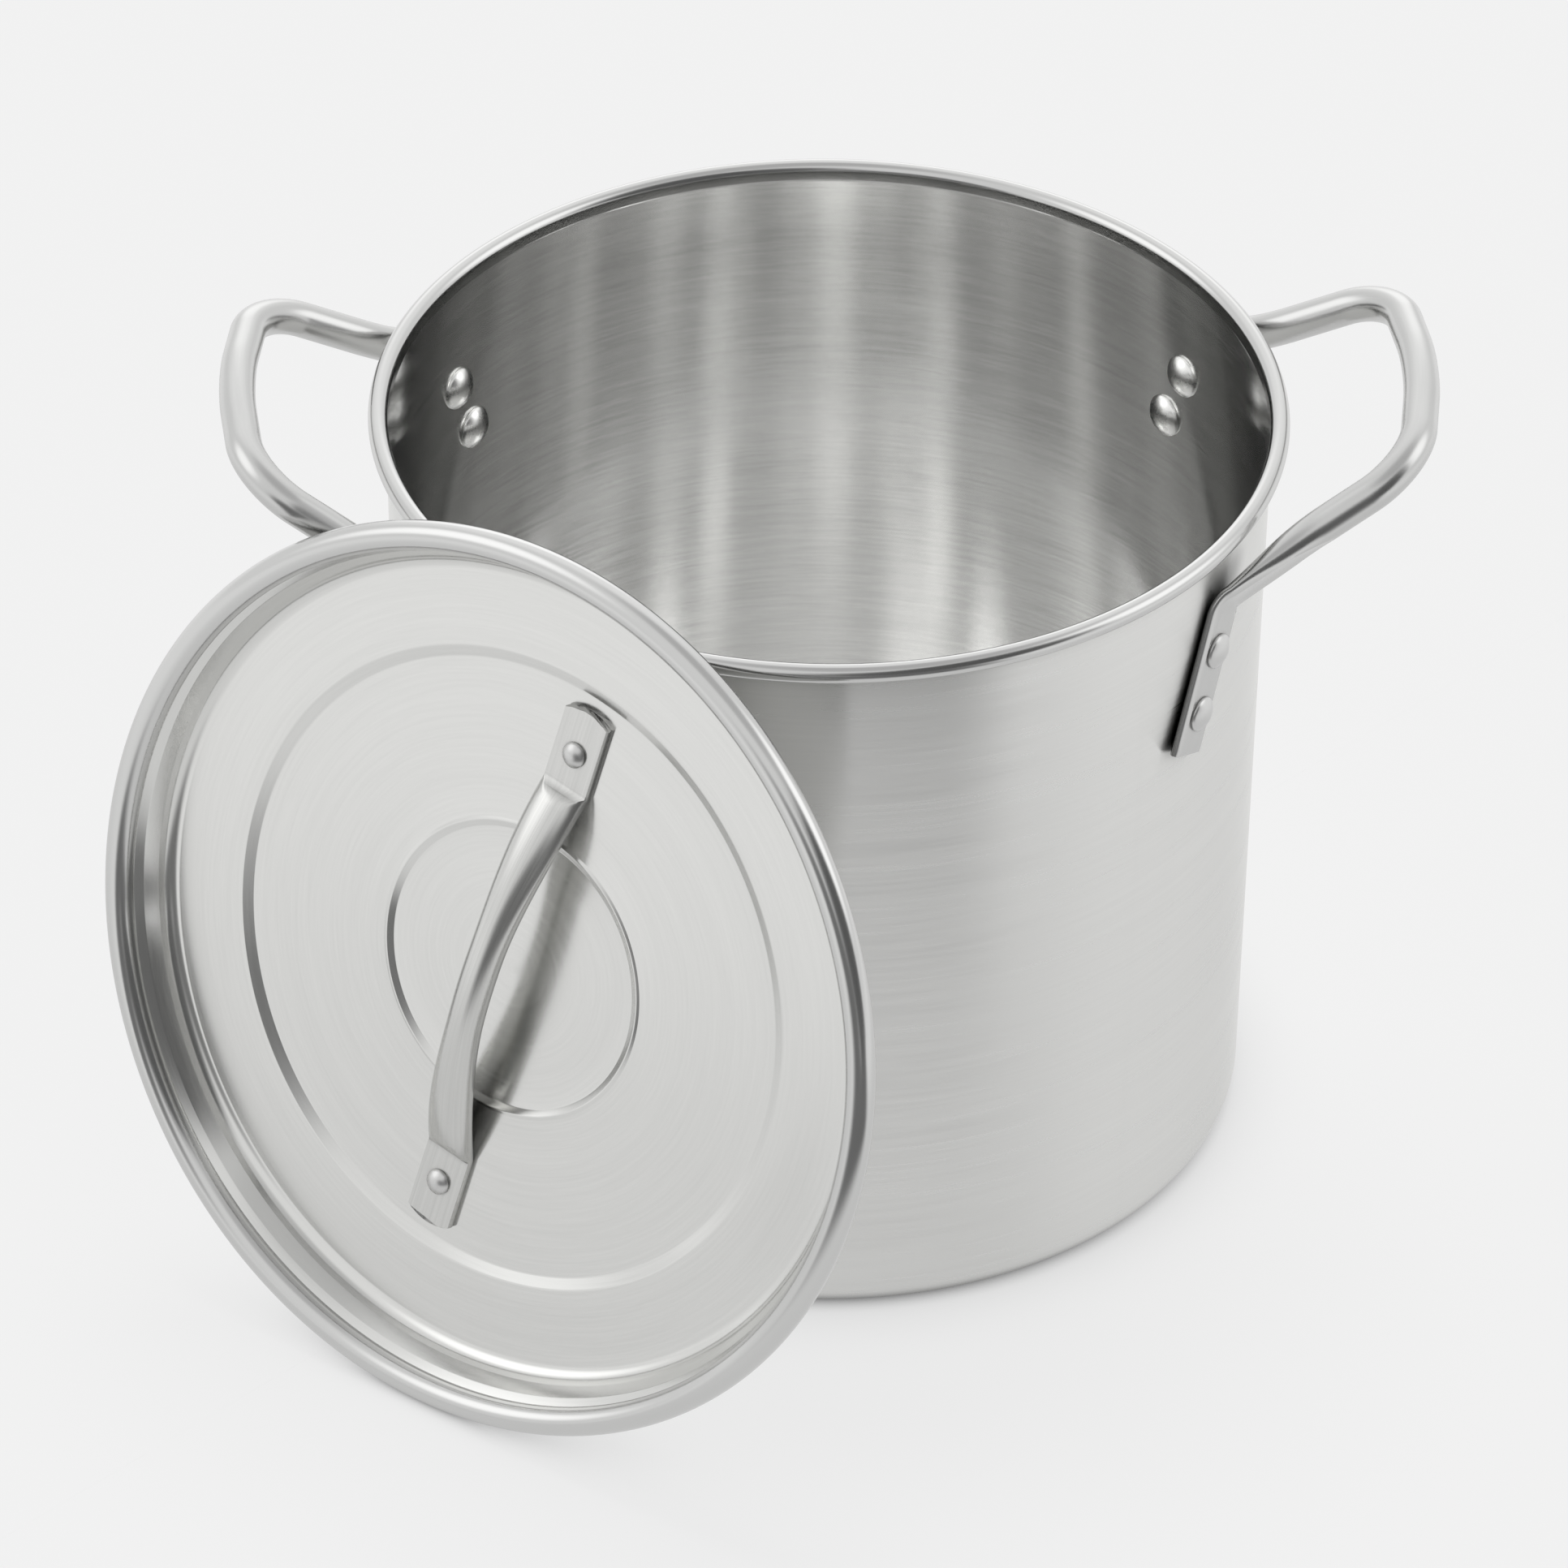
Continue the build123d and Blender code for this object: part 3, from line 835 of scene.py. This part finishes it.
def make_side_handle(name, azimuth, turn, drop, ends):
    """Loop handle of bent tube, pressed flat at both ends, with the rivets that hold it."""
    route, across_a, across_b, plane_up = handle_route(turn, drop)
    runs = path_runs(route)
    total = runs[-1]
    ways = tangents(route)
    tab = TAB_END_MARGIN + RIVET_PITCH + TAB_FOLD_MARGIN
    bm = bmesh.new()
    rings, corners = [], []
    place = Matrix.Rotation(radians(azimuth), 4, "Z")
    for point, way, run in zip(route, ways, runs):
        near = min(run, total - run)
        across = across_a if run < total / 2 else across_b
        press = PRESS_LENGTHS[ends[0] if run < total / 2 else ends[1]]
        flat = plane_up.cross(way)
        wide = across.lerp(flat, ease((near - tab - press) / LEG_TWIST))
        share = max(0.0, min(1.0, (near - tab) / press))
        width = TAB_WIDTH + (HANDLE_TUBE - INSET - TAB_WIDTH) * ease(share)
        oval = PRESS_OVAL + (1 - PRESS_OVAL) * ease(share * PRESS_OVAL_RATE)
        height = (HANDLE_TUBE - INSET) * oval
        clip = (TAB_THICKNESS + (HANDLE_TUBE - TAB_THICKNESS) * share ** PRESS_OPENING) / 2
        dent = PRESS_DENT * max(0.0, 1 - share) * min(1.0, max(0.0, near - tab) / FOLD_RADIUS)
        cut = max(0.0, 1 - near / TAB_END_ROUND)
        width -= TAB_END_TRIM[0] * cut
        clip -= TAB_END_TRIM[1] * cut
        made, corner = ring(
            bm, place @ point, place.to_3x3() @ way, place.to_3x3() @ wide, width, height,
            clip, dent,
        )
        rings.append(made)
        corners.append(corner)
    skin(bm, rings, corners, TUBE_CRISP)
    map_tube(bm, rings, runs)
    finish_mesh(
        bm, name.replace("handle", "loop"), [polished_tube], "kettle", [name]
    )
    for side, end in ((1, ends[0]), (-1, ends[1])):
        seat = tab_seat(side * turn, drop)
        for level, shift in (("lower", -RIVET_PITCH / 2), ("upper", RIVET_PITCH / 2)):
            node = f"{name}_{end}_{level}_rivet"
            outer = seat @ Matrix.Translation((0, shift, TAB_THICKNESS))
            inner = seat @ Matrix.Translation((0, shift, -SHELL_SHEET - RIVET_SEAT_GAP))
            inner = inner @ Matrix.Rotation(pi, 4, "X")
            heads = []
            for spot, diameter, rise, edge in (
                (outer, RIVET_OUTER_HEAD, RIVET_OUTER_DOME, RIVET_OUTER_EDGE),
                (inner, RIVET_INNER_HEAD, RIVET_INNER_DOME, RIVET_INNER_EDGE),
            ):
                spot = (MIRROR @ spot) if side < 0 else spot
                spot = place @ spot
                spot.translation = spot.translation * MM
                heads.append((spot, diameter, rise, edge))
            rivet(
                node.replace("rivet", "rivet_heads"), heads, [tumbled_rivet, polished_rivet_painted_light],
                "kettle", node,
            )


for handle, facts in HANDLES.items():
    make_side_handle(handle, facts["azimuth"], facts["turn"], facts["drop"], facts["ends"])


# ---------------------------------------------------------------- lid

def make_lid():
    """The lid's dished sheet, from its ringed centre to its rolled edge, leaned in place."""
    points, bead_start = lid_section()
    bm = turned_sheet(points, [bead_start - 1], bead_start)
    aim(bm, Vector((0, 0, 1)))
    bmesh.ops.transform(bm, matrix=lid_matrix, verts=bm.verts[:])
    piece = finish_mesh(
        bm, "lid_body", [spun_lid, polished_bead, mill_back_painted_shade, polished_bead], "lid",
        ["lid_shell"],
    )
    thicken(piece, LID_SHEET, 2)


make_lid()

strap_place = lid_matrix @ Matrix.Translation(along(0, 0, -LID_PANEL_DEPTH - LID_STEP_DEPTH))
strap_place = strap_place @ Matrix.Rotation(radians(STRAP_TURN), 4, "Z")


def make_strap():
    """Arched lid handle: a tube pressed flat at its two ends."""
    fold = STRAP_LENGTH / 2 - STRAP_TAB_LENGTH
    base = STRAP_TAB_THICKNESS / 2
    rise = STRAP_HEIGHT - base
    ball = (fold ** 2 + rise ** 2) / (2 * rise)
    turn = 2 * degrees(asin(fold / ball))
    tip = Vector((STRAP_LENGTH / 2, 0, 0))
    inner = Vector((fold, 0, 0))
    lift = Vector((0, 0, base))
    tab = rounded([lift - tip, lift - inner], [], ROUTE_RUN)
    arch = swung(lift - inner, Vector((0, 0, STRAP_HEIGHT - ball)), turn, STRAP_ARCH_STEPS)
    far_tab = rounded([lift + inner, lift + tip], [], ROUTE_RUN)
    route = tab + arch[1:] + far_tab[1:]
    runs = path_runs(route)
    total = runs[-1]
    bm = bmesh.new()
    rings, corners = [], []
    for point, way, run in zip(route, tangents(route), runs):
        near = min(run, total - run) - STRAP_TAB_LENGTH
        share = max(0.0, min(1.0, near / STRAP_PRESS_LENGTH))
        narrow = ease(share ** STRAP_NARROWING)
        width = STRAP_TAB_WIDTH + (STRAP_MIDDLE_WIDTH - STRAP_TAB_WIDTH) * narrow
        height = STRAP_TUBE * (STRAP_OVAL + (1 - STRAP_OVAL) * share)
        clip = base + max(0.0, near) * STRAP_OPENING
        made, corner = ring(bm, point, way, Vector((0, 1, 0)), width, height, clip, 0.0)
        rings.append(made)
        corners.append(corner)
    skin(bm, rings, corners, STRAP_CRISP)
    map_tube(bm, rings, runs)
    # Each end is trimmed to a shallow curve.
    trim = STRAP_END_BULGE * 2
    for vert in bm.verts:
        x, y = vert.co.x / MM, vert.co.y / MM
        share = (abs(x) - (STRAP_LENGTH / 2 - trim)) / trim
        if share > 0:
            pull = STRAP_END_BULGE * min(1.0, (2 * y / STRAP_TAB_WIDTH) ** 2)
            vert.co.x -= pull * share * MM * (1 if x > 0 else -1)
    bmesh.ops.transform(bm, matrix=strap_place, verts=bm.verts[:])
    finish_mesh(bm, "lid_grip", [sanded_strap], "lid", ["lid_handle"])
    for end, sign in (("lower", -1), ("upper", 1)):
        node = f"lid_handle_{end}_rivet"
        x = sign * (STRAP_LENGTH / 2 - STRAP_RIVET_MARGIN)
        head = strap_place @ Matrix.Translation(along(x, 0, STRAP_TAB_THICKNESS))
        buck = strap_place @ Matrix.Translation(along(x, 0, -LID_SHEET))
        buck = buck @ Matrix.Rotation(pi, 4, "X")
        heads = [
            (head, LID_RIVET_HEAD, LID_RIVET_DOME, LID_RIVET_EDGE),
            (buck, LID_RIVET_HEAD, LID_BUCK_DOME, LID_BUCK_EDGE),
        ]
        rivet(
            node.replace("rivet", "rivet_heads"), heads, [tumbled_rivet, tumbled_rivet],
            "lid", node,
        )


make_strap()


# ---------------------------------------------------------------- set

PAPER = "#F2F2F2"
PAPER_REACH = 12.0
# The camera sees this share of the paper's real light, and the rest as even glow under a
# painted contact shadow, so that the shadow stays and the lamp's falling off doesn't
SHADOW_SHARE = 0.1
# Metres over which a contact shadow is painted on the paper under the object, and how closely
# that painted shadow hugs it
CONTACT_REACH = 0.05
CONTACT_POWER = 3.0
# Paper as metal mirrors it, painted darker near the object as shade and brighter far off: its
# brightness near and far, and the metres between the two
GLOW = (0.9, 1.12)
GLOW_FROM = (0.3, 1.1)
# Its darker patch, a painted shadow: azimuth, degrees to either side, metres out, and what it
# keeps
DARK_AZIMUTH = -91
DARK_SPREAD = (27, 47)
DARK_FROM = (0.43, 0.75)
DARK_LEVEL = 0.2
# Soft lamp: its share of the plain light, its width, and its tilt from overhead
LAMP_SHARE = 0.6
LAMP_WIDTH = 30
LAMP_TILT = -24


def heading(azimuth, height):
    """Direction at an azimuth from +X and a height above the horizon, in degrees."""
    azimuth, height = radians(azimuth), radians(height)
    return Vector((cos(azimuth) * cos(height), sin(azimuth) * cos(height), sin(height)))


def facing(tree, way, towards, inner, outer):
    """1 where the direction is within inner degrees of towards, 0 beyond outer degrees."""
    dot = add(
        tree, "ShaderNodeVectorMath", {0: way, 1: towards}, operation="DOT_PRODUCT"
    ).outputs["Value"]
    return add(
        tree, "ShaderNodeMapRange",
        {"Value": dot, "From Min": cos(radians(outer)), "From Max": cos(radians(inner))},
        interpolation_type="SMOOTHSTEP",
    ).outputs[0]


def make_floor():
    """White seamless paper: it keeps the object's shadow, partly real and partly painted, and
    is plain and even beyond it.
    """
    material = bpy.data.materials.new("seamless_paper")
    material.use_nodes = True
    tree = material.node_tree
    tree.nodes.clear()
    paper = linear(PAPER)
    matt = add(tree, "ShaderNodeBsdfDiffuse", {"Color": paper})
    # Painted contact shadow: the paper's even glow darkens where ambient occlusion finds it
    # hidden.
    near = add(tree, "ShaderNodeAmbientOcclusion", {"Distance": CONTACT_REACH}, samples=16)
    hidden = maths(tree, "SUBTRACT", 1.0, near.outputs["AO"])
    painted_contact_shadow = maths(tree, "POWER", hidden, CONTACT_POWER)
    painted_shadow_level = maths(tree, "SUBTRACT", 1.0, painted_contact_shadow)
    even = add(tree, "ShaderNodeEmission", {"Color": paper, "Strength": painted_shadow_level})
    path = add(tree, "ShaderNodeLightPath")
    share = maths(tree, "MULTIPLY", path.outputs["Is Camera Ray"], 1 - SHADOW_SHARE)
    seen = add(tree, "ShaderNodeMixShader", {0: share, 1: matt.outputs[0], 2: even.outputs[0]})
    # Metal mirrors paper painted with shade: it brightens away from the object, has a painted
    # shadow patch in front, and keeps the painted contact shadow.
    place = add(tree, "ShaderNodeTexCoord").outputs["Object"]
    away = add(tree, "ShaderNodeVectorMath", {0: place}, operation="LENGTH").outputs["Value"]
    glow = add(
        tree, "ShaderNodeMapRange",
        {"Value": away, "From Min": GLOW_FROM[0], "From Max": GLOW_FROM[1],
         "To Min": GLOW[0], "To Max": GLOW[1]},
    ).outputs[0]
    way = add(tree, "ShaderNodeVectorMath", {0: place}, operation="NORMALIZE").outputs[0]
    wedge = facing(tree, way, heading(DARK_AZIMUTH, 0), *DARK_SPREAD)
    far = add(
        tree, "ShaderNodeMapRange",
        {"Value": away, "From Min": DARK_FROM[0], "From Max": DARK_FROM[1]},
        interpolation_type="SMOOTHSTEP",
    ).outputs[0]
    dark = maths(tree, "MULTIPLY", maths(tree, "MULTIPLY", wedge, far), 1 - DARK_LEVEL)
    level = maths(tree, "SUBTRACT", 1.0, dark)
    level = maths(tree, "MULTIPLY", maths(tree, "MULTIPLY", level, glow), painted_shadow_level)
    mirrored = add(tree, "ShaderNodeEmission", {"Color": paper, "Strength": level})
    seen = add(
        tree, "ShaderNodeMixShader",
        {0: path.outputs["Is Glossy Ray"], 1: seen.outputs[0], 2: mirrored.outputs[0]},
    )
    add(tree, "ShaderNodeOutputMaterial", {"Surface": seen.outputs[0]})
    bm = bmesh.new()
    bmesh.ops.create_grid(bm, x_segments=1, y_segments=1, size=PAPER_REACH)
    mesh = bpy.data.meshes.new("floor")
    bm.to_mesh(mesh)
    bm.free()
    mesh.materials.append(material)
    floor = bpy.data.objects.new("floor", mesh)
    bpy.context.scene.collection.objects.link(floor)


def make_lamp():
    """Soft lamp above and a little behind, for the shadow that falls to the front."""
    data = bpy.data.lights.new("soft_lamp", "SUN")
    data.energy = pi * LAMP_SHARE
    data.angle = radians(LAMP_WIDTH)
    lamp = bpy.data.objects.new("soft_lamp", data)
    bpy.context.scene.collection.objects.link(lamp)
    lamp.rotation_euler = (radians(LAMP_TILT), 0, 0)
    lamp.visible_glossy = False


# Light and dark of the studio as metal mirrors it: where each part stands, the degrees from
# its middle where it starts to fade and has faded out, and what it adds to the plain level.
# No direction is darker than STUDIO_LEAST. Light on its way out of the kettle meets the
# inside parts instead: narrow lamps that the satin wall draws out into upright bands.
STUDIO_LEVEL = 0.9
STUDIO_INSIDE_LEVEL = 0.66
STUDIO_LEAST = 0.13
STUDIO_OUTSIDE = (
    (heading(90, 36), 14, 42, 0.2),
    (heading(90, 14), 8, 22, 0.4),
    (heading(0, 34), 7, 28, 0.6),
    (heading(180, 34), 7, 28, 0.6),
    (heading(-66, 16), 14, 36, -0.75),
    (heading(-44, 28), 12, 28, -0.65),
    (heading(-114, 2), 12, 28, -0.7),
    (heading(-45, 78), 10, 34, -0.3),
)
STUDIO_INSIDE = (
    (heading(90, 36), 14, 40, 0.08),
    (heading(42, 42), 6, 16, 0.7),
    (heading(0, 30), 6, 13, 1.85),
    (heading(180, 29), 6, 13, 1.85),
    (heading(-95, 46), 8, 20, 2.0),
    (heading(-130, 46), 6, 15, 1.1),
    (heading(-62, 46), 6, 15, 0.9),
    (heading(-112, 8), 12, 30, -0.4),
)


def studio_level(tree, way, level, parts):
    """Brightness of the studio in a direction: its plain level and all its parts."""
    for towards, inner, outer, gain in parts:
        part = maths(tree, "MULTIPLY", facing(tree, way, towards, inner, outer), gain)
        level = maths(tree, "ADD", part, level)
    return maths(tree, "MAXIMUM", level, STUDIO_LEAST)


def make_world():
    """Plain soft light, with the studio's parts in what metal mirrors and paper behind."""
    world = bpy.data.worlds.new("studio")
    bpy.context.scene.world = world
    world.use_nodes = True
    world.cycles.sampling_method = "NONE"
    tree = world.node_tree
    tree.nodes.clear()
    path = add(tree, "ShaderNodeLightPath")
    way = add(tree, "ShaderNodeTexCoord").outputs["Generated"]
    turns = maths(tree, "GREATER_THAN", path.outputs["Glossy Depth"], INSIDE_TURNS)
    level = add(
        tree, "ShaderNodeMix",
        {0: turns, 2: studio_level(tree, way, STUDIO_LEVEL, STUDIO_OUTSIDE),
         3: studio_level(tree, way, STUDIO_INSIDE_LEVEL, STUDIO_INSIDE)},
    ).outputs[0]
    white = linear("#FFFFFF")
    mirrored = add(tree, "ShaderNodeBackground", {"Color": white, "Strength": level})
    plain = add(tree, "ShaderNodeBackground", {"Color": white, "Strength": 1 - LAMP_SHARE})
    seen = add(tree, "ShaderNodeBackground", {"Color": linear(PAPER), "Strength": 1.0})
    lit = add(
        tree, "ShaderNodeMixShader",
        {0: path.outputs["Is Glossy Ray"], 1: plain.outputs[0], 2: mirrored.outputs[0]},
    )
    whole = add(
        tree, "ShaderNodeMixShader",
        {0: path.outputs["Is Camera Ray"], 1: lit.outputs[0], 2: seen.outputs[0]},
    )
    add(tree, "ShaderNodeOutputWorld", {"Surface": whole.outputs[0]})


make_floor()
make_lamp()
make_world()

scene = bpy.context.scene
scene.view_settings.view_transform = "Standard"
# Light turns many times inside the kettle before it leaves.
scene.cycles.glossy_bounces = 10
scene.cycles.max_bounces = 12
